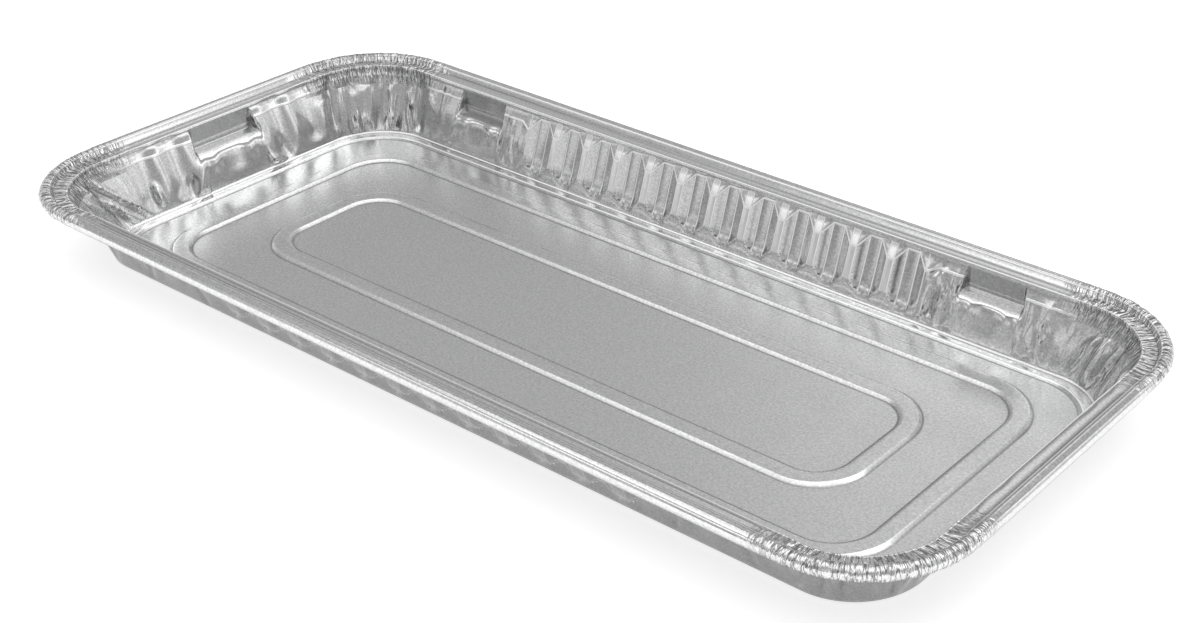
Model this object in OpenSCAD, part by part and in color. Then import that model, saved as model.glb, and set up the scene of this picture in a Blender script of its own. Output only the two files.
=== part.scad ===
// Oblong foil cake pan: one pressed sheet of foil with a rolled rim.
// The sheet is worked out as rings of points that go round the pan, from the floor panel
// out over the wall and the flange to the free edge of the roll. Each ring has an upper
// and a lower point per column, one foil thickness apart, so the sheet is one closed solid.

/* [Overall size] */
// Length over the rolled rim
pan_l = 450.4; // [410:0.1:500]
// Width over the rolled rim
pan_w = 206.2; // [192:0.1:240]
// Height from the table to the top of the rolled rim
pan_h = 32.5; // [29:0.1:45]
// Corner radius at the outside of the rolled rim
corner_r = 44; // [42:0.5:50]
// Thickness of the foil
foil = 0.12; // [0.08:0.01:0.3]

/* [Rolled rim and flange] */
// Diameter of the rolled rim
curl_d = 6; // [4:0.1:7]
// How far the foil is rolled, in degrees, in flat faces of 45 each
curl_turn = 315; // [270:45:315]
// Flange width on the long sides, from the roll's centre line to the inner edge
flange_side = 8.3; // [6.5:0.1:10]
// Flange width on the ends, from the roll's centre line to the inner edge
flange_end = 9.2; // [6.5:0.1:11]
// Crimps round each corner of the rim
crimp_n = 10; // [6:1:12]
// Depth of a crimp
crimp_d = 0.35; // [0.1:0.05:0.6]

/* [Wall] */
// Height of the upright step under the flange on the long sides
step_side_h = 2; // [1.5:0.1:4]
// Height of the upright step under the flange on the ends
step_end_h = 1.5; // [1:0.1:4]
// Width of the ledge under the step on the long sides
ledge_side_w = 1.9; // [1:0.1:3.5]
// Drop of the ledge on the long sides
ledge_side_h = 3.7; // [1:0.1:5]
// Width of the ledge under the step on the ends
ledge_end_w = 2.4; // [1:0.1:4]
// Drop of the ledge on the ends
ledge_end_h = 3.6; // [0.8:0.1:5]
// Run of the slope from the ledge in to the floor on the long sides
slope_side = 8.3; // [6:0.1:14]
// Run of the slope from the ledge in to the floor on the ends
slope_end = 8.6; // [7:0.1:14]
// How far the middle of the slope lies inside a straight line
slope_sag = 0.8; // [0:0.1:1.5]
// Corner radius where the wall meets the floor
foot_r = 28; // [24:0.5:31]
// Pleats in the wall of each corner
pleat_n = 8; // [5:1:9]
// Depth of a corner pleat
pleat_d = 1.1; // [0.4:0.1:1.6]

/* [Flutes of the long sides] */
// Distance from one flute to the next
flute_pitch = 18.2; // [16:0.1:24]
// Width of a flute
flute_w = 15; // [11:0.5:15.5]
// Width of a flute's flat bed
flute_bed = 5.5; // [4:0.5:8]
// Depth of a flute
flute_d = 1.2; // [0.5:0.1:2]
// Height of a flute's lower tip above the foot of the wall
flute_foot = 3.3; // [2:0.1:6]
// Height of the slanted lower end of a flute
flute_hip = 3.2; // [2:0.1:4]
// Height of the rounded upper end of a flute, below the ledge
flute_head = 2.6; // [1.5:0.1:4]
// Least room between the last flute and a lug
flute_room = 8; // [5:0.5:14]

/* [Waves of the ends] */
// Distance from one wave to the next
wave_pitch = 16; // [14:0.5:24]
// Width of a wave
wave_w = 13; // [10:0.5:14]
// Depth of a wave
wave_d = 1.1; // [0.4:0.1:2]
// Room between a lug and the first wave
wave_room = 3; // [2:0.5:6]

/* [Stacking lugs] */
// Width of a lug on the long sides
lug_side_w = 25.5; // [20:0.5:32]
// Width of the lug on each end
lug_end_w = 31.5; // [22:0.5:35]
// Height of a lug's seat above the table
lug_seat = 19.2; // [15:0.1:21]
// Drop of a lug's seat towards its lip
lug_fall = 2.2; // [0.4:0.1:3]
// Spread of a lug's side walls towards the lip
lug_flare = 1.4; // [0.6:0.1:2]
// Distance from a side lug's middle to the end of the straight floor edge
lug_in = 35.5; // [30:0.5:44]
// How far the foil bulges in below a lug's seat
pucker = 0.9; // [0:0.1:1.5]

/* [Floor] */
// Height of a raised bead ring
bead_h = 1.2; // [0.5:0.1:2]
// Width of a bead ring at its foot
bead_w = 10; // [7:0.5:13]
// Width of a bead ring's flat top
bead_top = 5; // [2:0.5:6]
// Distance from the foot of the long walls to the outer ring's middle
ring_out_side_in = 19; // [16:0.1:26]
// Distance from the foot of the end walls to the outer ring's middle
ring_out_end_in = 23.4; // [18:0.1:28]
// Corner radius of the outer ring's middle
ring_out_r = 22.5; // [18:0.5:30]
// Distance from the foot of the long walls to the inner ring's middle
ring_in_side_in = 49.4; // [44:0.1:58]
// Distance from the foot of the end walls to the inner ring's middle
ring_in_end_in = 53.5; // [44:0.1:90]
// Corner radius of the inner ring's middle
ring_in_r = 19; // [12:0.5:22]
// Width of the raised strip along the wall's foot
strip_w = 3.8; // [3:0.1:6]
// Height of the raised strip
strip_h = 0.8; // [0.3:0.1:1.5]
// Width of the slope up to the raised strip
strip_run = 1.6; // [1:0.1:3]
// Corner radius of the raised strip's inner edge
strip_r = 25.5; // [20:0.5:30]

/* [Hidden] */

// Parts of a quarter turn that a floor ring's corner is drawn with
floor_steps = 8;
// Turn of each flat face round the roll
curl_step = 45;
// Crimps that carry on along the straight rim, past each end of a corner
crimp_past = 2;
// Turn that spreads the pleat depths unevenly
uneven_turn = 137.5;
// Share of the ledge's width and drop between the ledge's inner edge and a flute's bed
bed_top_out_share = 0.95;
bed_top_rise_share = 0.84;
// Shares of a flute's bed and of its side facets that are left at wall rows 0 to 5
bed_width_shares = [1, 0.9, 1, 1, 1, 1];
facet_width_shares = [1, 0.15, 1, 1, 1, 1];
// Shares of the full depth at wall rows 0 to 5
wave_depth_shares = [0, 0.5, 1, 1, 0.7, 0];
crush_depth_shares = [[0, 0.5, -0.6, 0.7, 0, 0], [0, -0.4, 0.6, -0.5, 0.4, 0]];
pleat_shares = [0, 0.35, 0.6, 1, 0.8, 0];
// Share of a wave's width in which it is at its full depth
wave_crest_share = 0.4;
// Share of a lug's width that bulges below its seat
pucker_share = 1 / 3;

// Kinds of column: on a corner, at a place on a side, or at a distance from a side's end
CORNER = 0;
SIDE = 1;
SIDE_END = 2;
// What a column of the wall belongs to
PLAIN = 0;
FLUTE = 1;
WAVE = 2;
LUG = 3;
CRUSH = 4;
PLEAT = 5;

half_foil = foil / 2;
curl_r = curl_d / 2 - half_foil;
// The roll's centre line
rim_x = pan_l / 2 - curl_d / 2;
rim_y = pan_w / 2 - curl_d / 2;
rim_r = corner_r - curl_d / 2;
rim_z = pan_h - curl_d / 2;

// Each row is [half length, half width, corner radius, height on the ends, height on the sides]
edge_x = rim_x - flange_end;
edge_y = rim_y - flange_side;
edge_r = rim_r - max(flange_end, flange_side);
edge_row = [edge_x, edge_y, edge_r, rim_z, rim_z];
step_row = [edge_x, edge_y, edge_r, rim_z - step_end_h, rim_z - step_side_h];
ledge_r = edge_r - max(ledge_side_w, ledge_end_w) / 2;
ledge_row = [
    edge_x - ledge_end_w, edge_y - ledge_side_w, ledge_r,
    rim_z - step_end_h - ledge_end_h, rim_z - step_side_h - ledge_side_h
];
foot_x = ledge_row[0] - slope_end;
foot_y = ledge_row[1] - slope_side;
foot_z = half_foil + strip_h;
foot_row = [foot_x, foot_y, foot_r, foot_z, foot_z];

// Half lengths of the straight stretches, along the ends and along the sides
foot_straight = [foot_y - foot_r, foot_x - foot_r];
rim_straight = [rim_y - rim_r, rim_x - rim_r];

// Flat row of the floor, a distance in from the wall's foot
function floor_row(in_end, in_side, r, z) =
    [foot_x - in_end, foot_y - in_side, r, z + half_foil, z + half_foil];
// The four rows of a bead ring, from its inner foot to its outer foot
function bead_rows(in_end, in_side, r) = [
    for (e = [[-bead_w, 0], [-bead_top, bead_h], [bead_top, bead_h], [bead_w, 0]])
        floor_row(in_end - e[0] / 2, in_side - e[0] / 2, r + e[0] / 2, e[1])
];
floor_rows = concat(
    bead_rows(ring_in_end_in, ring_in_side_in, ring_in_r),
    bead_rows(ring_out_end_in, ring_out_side_in, ring_out_r),
    [floor_row(strip_w + strip_run, strip_w + strip_run, strip_r, 0)],
    [floor_row(strip_w, strip_w, strip_r + strip_run, strip_h)]
);

// Row at a share of the way up the slope of the wall
function slope_row(share) =
    foot_row + share * (ledge_row - foot_row)
    - slope_sag * sin(180 * share) * [1, 1, 1, 0, 0];
// Heights of the slope on the ends and on the sides
slope_h = [ledge_row[3] - foot_z, ledge_row[4] - foot_z];
flute_shares = [
    flute_foot / slope_h[1],
    (flute_foot + flute_hip) / slope_h[1],
    1 - flute_head / slope_h[1]
];
wall_rows = concat(
    [foot_row],
    [for (share = flute_shares) slope_row(share)],
    [ledge_row, step_row]
);

// Unit vector in plan at an angle
function way(a) = [cos(a), sin(a)];
// A column is [address, quarter, kind, place, feature, number in the feature, its middle]
function is_corner(col) = col[2] == CORNER;
// Side of the pan that a column lies on: 0 and 2 are the ends, 1 and 3 the long sides
function side_of(col) = is_corner(col) ? col[1] : (col[1] + 1) % 4;
// Point of a ring at a column, moved outwards and up
function ring_point(row, col, out, rise) =
    let (
        s = side_of(col),
        ahead = way(90 * s),
        along = way(90 * s + 90),
        to_side = row[s % 2],
        to_next = row[(s + 1) % 2],
        straight = to_next - row[2],
        v = col[2] == SIDE_END ? sign(col[3]) * (straight - abs(col[3])) : col[3],
        turned = ahead * cos(col[3]) + along * sin(col[3]),
        flat = is_corner(col)
            ? ahead * (to_side - row[2]) + along * straight + (row[2] + out) * turned
            : ahead * (to_side + out) + along * v,
        share = is_corner(col) ? pow(sin(col[3]), 2) : 0,
        z = row[3 + s % 2] * (1 - share) + row[3 + (s + 1) % 2] * share
    )
    [flat[0], flat[1], z + rise];

// Address of a place on the side of a quarter, so that rings can be joined in order
function side_address(q, v) = 2 * q + 1 + (v / rim_straight[(q + 1) % 2] + 1) / 2;
// Columns of a corner, with a given number of steps
function corner_columns(q, steps, feature) = [
    for (k = [0 : steps])
        [2 * q + k / steps, q, CORNER, 90 * k / steps,
            k == 0 || k == steps ? PLAIN : feature, k, 0]
];
// One feature of a side: columns k, a nominal half width for each, round a middle
function feature_columns(q, feature, middle, halves) = [
    for (k = [-len(halves) : len(halves)])
        if (k != 0)
            let (v = middle + sign(k) * halves[abs(k) - 1])
            [side_address(q, v), q, SIDE, v, feature, k, middle]
];
function crush_columns(q, places) = [
    for (i = [0 : len(places) - 1])
        [side_address(q, places[i]), q, SIDE, places[i], CRUSH, i, places[i]]
];

function flute_columns(q, middle) =
    feature_columns(q, FLUTE, middle, [flute_bed / 2, flute_w / 2]);
function wave_columns(q, middle) =
    feature_columns(q, WAVE, middle, [wave_crest_share * wave_w / 2, wave_w / 2]);
function lug_columns(q, middle, w) =
    feature_columns(q, LUG, middle, [pucker_share * w / 2, w / 2, w / 2 + lug_flare]);

// Long side: lug, crushed room, flutes, crushed room, lug
lug_place = foot_straight[1] - lug_in;
lug_edge = lug_place - lug_side_w / 2 - lug_flare;
flute_n = max(0, floor(2 * (lug_edge - flute_room) / flute_pitch));
flutes_half = flute_n * flute_pitch / 2;
lug_far = lug_place + lug_side_w / 2 + lug_flare;
function rooms(from, to, n) = [for (i = [1 : n]) from + (to - from) * i / (n + 1)];
function long_side_columns(q) = concat(
    crush_columns(q, rooms(-foot_straight[1], -lug_far, 2)),
    lug_columns(q, -lug_place, lug_side_w),
    crush_columns(q, rooms(-lug_edge, -flutes_half, 2)),
    [
        for (i = [0 : 1 : flute_n - 1])
            each flute_columns(q, (i + 0.5) * flute_pitch - flutes_half)
    ],
    crush_columns(q, rooms(flutes_half, lug_edge, 2)),
    lug_columns(q, lug_place, lug_side_w),
    crush_columns(q, rooms(lug_far, foot_straight[1], 2))
);

// End: waves on both sides of a lug
wave_from = lug_end_w / 2 + lug_flare + wave_room;
wave_n = max(0, floor((foot_straight[0] - wave_from) / wave_pitch));
function end_columns(q) = concat(
    [
        for (i = [wave_n - 1 : -1 : 0])
            each wave_columns(q, -wave_from - (i + 0.5) * wave_pitch)
    ],
    lug_columns(q, 0, lug_end_w),
    [
        for (i = [0 : 1 : wave_n - 1])
            each wave_columns(q, wave_from + (i + 0.5) * wave_pitch)
    ]
);

floor_columns = [for (q = [0 : 3]) each corner_columns(q, floor_steps, PLAIN)];
wall_columns = [
    for (q = [0 : 3])
        each concat(
            corner_columns(q, 2 * pleat_n, PLEAT),
            q % 2 == 0 ? long_side_columns(q) : end_columns(q)
        )
];

// Rim columns: two to a crimp, round each corner and a little past both of its ends
crimp_step = rim_r * PI / 2 / (2 * crimp_n);
function rim_side_columns(q) =
    let (straight = rim_straight[(q + 1) % 2])
    concat(
        [
            for (k = [1 : 2 * crimp_past])
                [side_address(q, -straight + k * crimp_step), q, SIDE_END, -k * crimp_step,
                    k == 2 * crimp_past ? PLAIN : PLEAT, k, 0]
        ],
        [
            for (k = [2 * crimp_past : -1 : 1])
                [side_address(q, straight - k * crimp_step), q, SIDE_END, k * crimp_step,
                    k == 2 * crimp_past ? PLAIN : PLEAT, k, 0]
        ]
    );
rim_columns = [
    for (q = [0 : 3])
        each concat(
            [
                for (k = [0 : 2 * crimp_n])
                    [2 * q + k / (2 * crimp_n), q, CORNER, 45 * k / crimp_n, PLEAT, k, 0]
            ],
            rim_side_columns(q)
        )
];
// Every other column of the crimps lies deeper
function crimp(col) = col[4] == PLAIN || col[5] % 2 == 0 ? 0 : -crimp_d;

// Where a flute's bed lies, from the slope, at wall rows 1 to 4: flush at its lower tip,
// at full depth above the hip, then on a straight line to just under the step
bed_top_out = bed_top_out_share * ledge_side_w;
bed_top_rise = bed_top_rise_share * ledge_side_h;
bed_low = flute_shares[1] * slope_side + flute_d;
bed_high = slope_side + bed_top_out;
bed_share = (flute_shares[2] - flute_shares[1]) * slope_h[1]
    / ((1 - flute_shares[1]) * slope_h[1] + bed_top_rise);
bed_mid = bed_low + (bed_high - bed_low) * bed_share;
flute_outs = [0, 0, flute_d, bed_mid - flute_shares[2] * slope_side, bed_top_out, 0];
// Half widths of the bed and of the whole flute at wall rows 0 to 5
flute_bed_halves = [for (m = bed_width_shares) m * flute_bed / 2];
flute_edge_halves = [
    for (m = facet_width_shares)
        flute_bed / 2 + m * (flute_w - flute_bed) / 2
];
wave_outs = [for (m = wave_depth_shares) m * wave_d];
crush_outs = [for (m = crush_depth_shares) m * pleat_d];

// Share of the slope's height that a lug's lip and seat lie at, on an end or a side
function lug_share(side, row) =
    (lug_seat - (row == 2 ? lug_fall : 0) - foot_z) / slope_h[side % 2];
function is_lug_row(col, row) = col[4] == LUG && (row == 2 || row == 3);
function wall_row(col, row) =
    is_lug_row(col, row) ? slope_row(lug_share(side_of(col), row)) : wall_rows[row];
// From the slope out to the plane of the step
function to_step(col, row) = step_row[side_of(col) % 2] - wall_row(col, row)[side_of(col) % 2];

function wall_out(col, row) =
    let (feature = col[4], k = col[5])
    feature == FLUTE && abs(k) == 1 ? flute_outs[row]
    : feature == WAVE && abs(k) == 1 ? wave_outs[row]
    : feature == CRUSH ? crush_outs[k % 2][row]
    : feature == LUG && abs(k) < 3 ? lug_out(col, row)
    : feature == PLEAT ? pleat_out(k, row)
    : 0;
function lug_out(col, row) =
    row == 3 || row == 4 ? to_step(col, row)
    : row == 1 && abs(col[5]) == 1 ? -pucker
    : 0;
function pleat_out(k, row) =
    (k % 2 == 0 ? -1 : 1) * pleat_d * pleat_shares[row] * (3 + sin(k * uneven_turn)) / 4;

function wall_place(col, row) =
    col[4] != FLUTE ? col
    : let (halves = abs(col[5]) == 1 ? flute_bed_halves : flute_edge_halves)
        [col[0], col[1], col[2], col[6] + sign(col[5]) * halves[row], FLUTE, col[5], col[6]];
function wall_rise(col, row) =
    col[4] == FLUTE && abs(col[5]) == 1 && row == 4 ? bed_top_rise : 0;
function wall_point(col, row) =
    ring_point(
        wall_row(col, row), wall_place(col, row), wall_out(col, row), wall_rise(col, row)
    );

// A ring is [addresses, upper points, lower points]
function addresses(cols) = [for (col = cols) col[0]];
// Ring whose upper and lower points lie half a foil apart along one direction in the profile
function profile_ring(row, cols, out, rise, lean_out, lean_up, crimp_out, crimp_up) = [
    addresses(cols),
    for (side = [1, -1])
        [
            for (col = cols)
                ring_point(
                    row, col,
                    out + side * half_foil * lean_out + crimp(col) * crimp_out,
                    rise + side * half_foil * lean_up + crimp(col) * crimp_up
                )
        ]
];

floor_rings = [for (row = floor_rows) profile_ring(row, floor_columns, 0, 0, 0, 1, 0, 0)];

wall_n = len(wall_columns);
wall_points = [
    for (row = [0 : len(wall_rows) - 1])
        [for (col = wall_columns) wall_point(col, row)]
];
// Rows under the foot and over the step, only to lean the foil there
under_wall = [
    for (col = wall_columns)
        ring_point(floor_rows[len(floor_rows) - 1], col, 0, 0)
];
over_wall = [for (col = wall_columns) ring_point(edge_row, col, 0, 0)];
lean_points = concat([under_wall], wall_points, [over_wall]);
// The foil's upward normal at a point of the wall, from its four neighbours
function wall_lean(row, i) =
    let (
        round_it = wall_points[row][(i + 1) % wall_n]
            - wall_points[row][(i + wall_n - 1) % wall_n],
        up_it = lean_points[row + 2][i] - lean_points[row][i],
        n = cross(up_it, round_it)
    )
    n / norm(n);
wall_rings = [
    for (row = [0 : len(wall_rows) - 1])
        let (leans = [for (i = [0 : wall_n - 1]) wall_lean(row, i)])
        [
            addresses(wall_columns),
            for (side = [1, -1])
                [
                    for (i = [0 : wall_n - 1])
                        wall_points[row][i] + side * half_foil * leans[i]
                ]
        ]
];

rim_row = [rim_x, rim_y, rim_r, rim_z, rim_z];
// From where the flange meets the roll, over its top and down the outside
function curl_ring(i) =
    let (a = 180 - curl_step * i, lean = i == 0 ? [-1, 1] : way(a))
    profile_ring(
        rim_row, rim_columns, curl_r * cos(a), curl_r * sin(a),
        lean[0], lean[1], cos(a), sin(a)
    );
rim_rings = concat(
    [profile_ring(edge_row, rim_columns, 0, 0, -1, 1, 0, 0)],
    [for (i = [0 : curl_turn / curl_step]) curl_ring(i)]
);

rings = concat(floor_rings, wall_rings, rim_rings);
// Number of the first point of each ring, its upper points before its lower ones
function starts(i = 0, at = 0) =
    i == len(rings) ? [] : concat([at], starts(i + 1, at + 2 * len(rings[i][0])));
ring_starts = starts();
points = [for (ring = rings) each concat(ring[1], ring[2])];

function how_many(list, limit) = len([for (a = list) if (a <= limit) 1]);
// Triangles between two rings: each stretch of one ring joins the nearest point of the other
function zip(inner, outer) =
    let (
        n = len(inner),
        m = len(outer),
        mids = [for (i = [0 : n - 1]) (inner[i] + (i + 1 < n ? inner[i + 1] : 8)) / 2]
    )
    concat(
        [for (i = [0 : n - 1]) [0, i, (i + 1) % n, how_many(outer, mids[i]) - 1]],
        [
            for (j = [0 : m - 1])
                let (to = j + 1 < m ? outer[j + 1] : 8)
                [1, len([for (a = mids) if (a < to) 1]) % n, (j + 1) % m, j]
        ]
    );
function flipped(face) = [for (i = [len(face) - 1 : -1 : 0]) face[i]];
function band(r) =
    let (
        inner = rings[r][0],
        outer = rings[r + 1][0],
        a = ring_starts[r],
        b = ring_starts[r + 1],
        below_a = len(inner),
        below_b = len(outer),
        tris = zip(inner, outer)
    )
    [
        for (t = tris)
            each t[0] == 0
                ? [
                    [a + t[1], a + t[2], b + t[3]],
                    flipped([a + below_a + t[1], a + below_a + t[2], b + below_b + t[3]])
                ]
                : [
                    [a + t[1], b + t[2], b + t[3]],
                    flipped([a + below_a + t[1], b + below_b + t[2], b + below_b + t[3]])
                ]
    ];
floor_n = len(floor_columns);
// The floor panel inside the inner ring, above and below
panel_faces = [
    [for (i = [floor_n - 1 : -1 : 0]) i],
    [for (i = [0 : floor_n - 1]) floor_n + i]
];
// The free edge of the roll
last_start = ring_starts[len(rings) - 1];
rim_n = len(rim_columns);
edge_faces = [
    for (i = [0 : rim_n - 1])
        let (next = (i + 1) % rim_n)
        [last_start + i, last_start + next, last_start + rim_n + next, last_start + rim_n + i]
];

module pan() {
    color("silver")
        polyhedron(
            points = points,
            faces = concat(
                panel_faces,
                [for (r = [0 : len(rings) - 2]) each band(r)],
                edge_faces
            ),
            convexity = 12
        );
}

pan();
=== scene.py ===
"""Looks of the oblong foil cake pan: one sheet of pressed foil, worked out as rows and columns.

A row is one line that runs round the pan at one place of its profile, from the middle of the floor
out over the wall and the flange to the free edge of the roll. A column crosses the rows of the
floor, or those of the wall and the rim, and a ring of triangles joins the two.
Sizes are in millimetres until the mesh is made.
"""
import math

import bpy
import numpy as np
from mathutils import Matrix, Vector


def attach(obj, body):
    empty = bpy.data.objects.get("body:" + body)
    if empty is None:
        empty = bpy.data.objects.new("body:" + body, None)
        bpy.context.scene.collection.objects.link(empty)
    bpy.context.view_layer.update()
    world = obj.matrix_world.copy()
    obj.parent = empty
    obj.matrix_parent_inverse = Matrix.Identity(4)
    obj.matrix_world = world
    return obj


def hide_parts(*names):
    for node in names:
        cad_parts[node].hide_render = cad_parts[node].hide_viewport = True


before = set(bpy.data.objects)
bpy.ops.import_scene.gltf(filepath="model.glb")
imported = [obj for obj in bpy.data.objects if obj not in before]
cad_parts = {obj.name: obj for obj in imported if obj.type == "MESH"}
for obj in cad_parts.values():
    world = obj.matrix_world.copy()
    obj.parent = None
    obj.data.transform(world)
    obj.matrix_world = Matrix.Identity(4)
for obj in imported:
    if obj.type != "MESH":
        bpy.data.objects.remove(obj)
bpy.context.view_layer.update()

MM = 0.001
rng = np.random.default_rng(7)

# Sizes of the pan, as in the part's source; those that it works out are rounded here
PAN_L = 450.4
PAN_W = 206.2
PAN_H = 32.5
CORNER_R = 44.0
FOIL = 0.12
CURL_D = 6.0
FLANGE_SIDE = 8.3
FLANGE_END = 9.2
STEP_SIDE_H = 2.0
STEP_END_H = 1.5
LEDGE_SIDE_W = 1.9
LEDGE_SIDE_H = 3.7
LEDGE_END_W = 2.4
LEDGE_END_H = 3.6
SLOPE_SIDE = 8.3
SLOPE_END = 8.6
SLOPE_SAG = 0.8
FOOT_R = 28.0
FLUTE_PITCH = 18.2
FLUTE_N = 12
FLUTE_W = 15.0
FLUTE_BED = 5.5
FLUTE_D = 1.2
FLUTE_HIP_H = 6.5
BED_TOP_OUT = 1.8
BED_TOP_RISE = 3.1
WAVE_N = 2
WAVE_FROM = 20.1
WAVE_PITCH = 16.0
WAVE_W = 13.0
WAVE_D = 1.1
LUG_SIDE_W = 25.5
LUG_END_W = 31.5
LUG_SEAT = 19.2
LUG_FALL = 2.2
LUG_FLARE = 1.4
LUG_IN = 35.5
BEAD_H = 1.2
STRIP_W = 3.8
STRIP_H = 0.8
STRIP_RUN = 1.6
STRIP_R = 25.5
# Bead rings: how far in from the wall's foot at the ends and at the sides, and corner radius
RING_OUT = (23.4, 19.0, 22.5)
RING_IN = (53.5, 49.4, 19.0)

# Finer forms that only the scene has. The ribs between the flutes stand further in, and the ledge
# between the flutes' heads drops, from a height over the wall's foot.
RIB_D = 0.35
HEAD_DROP = 2.3
HEAD_FROM = 14.0
# Where a flute opens: its bed from a height, over a length; its facets from a height at the rib,
# lower by the second number at the bed, over a length
BED_RAMP = (0.2, 8.4)
FACET_RAMP = (7.6, 4.2, 2.6)
# The flutes' row is blended into the plain wall from a little before its end
ROW_BEFORE = 1.6
ROW_BLEND = 6.0
# The ends' waves grow from a height over a length, and fade over the ledge with a power
WAVE_RAMP = (1.0, 7.0)
WAVE_FADE = 0.7
# Side walls of a lug: how far inside its edge they begin, their width, the depth over which they
# flare, and the rounding of the seat's lip
LUG_WALL_IN = 0.7
LUG_WALL_W = 1.3
LUG_FLARE_H = 12.0
LUG_ROUND = 1.3
# Share of the slope's height at which a lug's seat lies
SEAT_SHARE = 0.8
# Share of the way over the ledge and up the step that is the ledge
LEDGE_PART = 0.6

# Columns: their steps along a long side and an end, in the short gaps between forms, and the
# longest such gap
SIDE_STEP = 0.95
END_STEP = 1.15
GAP_STEP = 2.0
GAP_MAX = 6.0
CREASE_HALF = 0.28
LUG_WALL_COLUMNS = (-0.7, -0.25, 0.15, 0.55, 0.95, 1.4, 2.0)
LUG_INNER_COLUMNS = 9
LUG_INNER_END = 1.8
CORNER_STEPS = 66
# The last millimetres of a side, which stretch to meet the corners of the rows above its foot
SIDE_STRETCH = 8.0
FLOOR_CORNER_STEPS = 16
FLOOR_COLUMNS = (13, 44)
FLOOR_STRETCH = 200.0

HALF = FOIL / 2
CURL_R = CURL_D / 2 - HALF
RIM_Z = PAN_H - CURL_D / 2
# Plans of rows: half length, half width and corner radius
RIM = np.array([PAN_L / 2, PAN_W / 2, CORNER_R]) - CURL_D / 2
EDGE = RIM - np.array([FLANGE_END, FLANGE_SIDE, FLANGE_END])
LEDGE = EDGE - np.array([LEDGE_END_W, LEDGE_SIDE_W, max(LEDGE_END_W, LEDGE_SIDE_W) / 2])
FOOT = np.array([LEDGE[0] - SLOPE_END, LEDGE[1] - SLOPE_SIDE, FOOT_R])
FOOT_Z = HALF + STRIP_H
# Half lengths of the foot's straight parts, at an end and at a long side
FOOT_STRAIGHT = np.array([FOOT[1] - FOOT_R, FOOT[0] - FOOT_R])
LUG_PLACE = FOOT_STRAIGHT[1] - LUG_IN
ROW_HALF = FLUTE_N * FLUTE_PITCH / 2
# Length of a corner along the foot, and a distance that is beyond every corner's reach
ARC = math.radians(90) * FOOT_R
FAR = 999.0


def smooth(x):
    """Smooth step: 3x^2 - 2x^3 of x held between 0 and 1."""
    x = np.clip(x, 0.0, 1.0)
    return x * x * (3 - 2 * x)


def tent(x):
    """A ridge with a sharp top: 1 - |x|, never below 0."""
    return np.maximum(0.0, 1.0 - np.abs(x))


def bell(x):
    """A soft bump: exp(-x^2)."""
    return np.exp(-x * x)


def both_ways(middle, right):
    """A middle, places at the given distances to its right, and the same ones to its left."""
    return middle + np.concatenate([-right[::-1], [0.0], right])


def flute_places(middle):
    """Columns across one flute: a close pair at each of its four creases, and one between them."""
    bed = FLUTE_BED / 2
    edge = FLUTE_W / 2
    right = np.array([
        bed - CREASE_HALF, bed + CREASE_HALF, (bed + edge) / 2,
        edge - CREASE_HALF, edge + CREASE_HALF,
    ])
    return both_ways(middle, right)


def lug_places(middle, width):
    """Columns across a lug: an even spread, with close columns at its two side walls."""
    half = width / 2
    inner = np.linspace(0.0, half - LUG_INNER_END, LUG_INNER_COLUMNS)
    return both_ways(middle, np.concatenate([inner[1:], np.array(LUG_WALL_COLUMNS) + half]))


def spread(a, b, step):
    """Evenly spaced places between two others, both left out."""
    n = max(1, int(round((b - a) / step)))
    return a + (b - a) * np.arange(1, n) / n


def side_places(k):
    """All column places along an end (k = 0) or a long side (k = 1), from corner to corner."""
    half = FOOT_STRAIGHT[k]
    if k == 1:
        first = (1 - FLUTE_N) * FLUTE_PITCH / 2
        groups = [lug_places(-LUG_PLACE, LUG_SIDE_W)]
        groups += [flute_places(first + i * FLUTE_PITCH) for i in range(FLUTE_N)]
        groups += [lug_places(LUG_PLACE, LUG_SIDE_W)]
        step = SIDE_STEP
    else:
        groups = [lug_places(0.0, LUG_END_W)]
        step = END_STEP
    out = []
    at = -half
    for group in groups:
        out.append(spread(at, group[0], step if group[0] - at > GAP_MAX else GAP_STEP))
        out.append(group)
        at = group[-1]
    out.append(spread(at, half, step))
    return np.concatenate(out)


def floor_places(k):
    """Places of the floor's columns along a side: few, because its lines are straight there."""
    n = FLOOR_COLUMNS[k]
    return (np.arange(1, n) / n * 2 - 1) * FOOT_STRAIGHT[k]


def make_columns(steps, places, stretch):
    """Columns once round the pan: four times a corner and then the side after it.

    A column's address grows by 1 over each corner and over each side. Its side is 0 at the right
    end, 1 at the back, and so on. A corner's column has a turn from the corner's start, and a
    side's column has a place along the side from its middle.
    """
    parts = []
    for q in range(4):
        turn = np.linspace(0.0, 90.0, steps + 1)
        none = np.zeros(len(turn))
        parts.append(np.array([2 * q + turn / 90, none + q, turn, none, none + 1]))
        place = places((q + 1) % 2)
        none = np.zeros(len(place))
        share = (place / FOOT_STRAIGHT[(q + 1) % 2] + 1) / 2
        parts.append(np.array([2 * q + 1 + share, none + (q + 1) % 4, none, place, none]))
    address, side, turn, place, corner = np.concatenate(parts, axis=1)
    return {
        "address": address,
        "side": side.astype(int),
        "turn": np.radians(turn),
        "place": place,
        "corner": corner.astype(bool),
        "stretch": stretch,
    }


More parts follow.
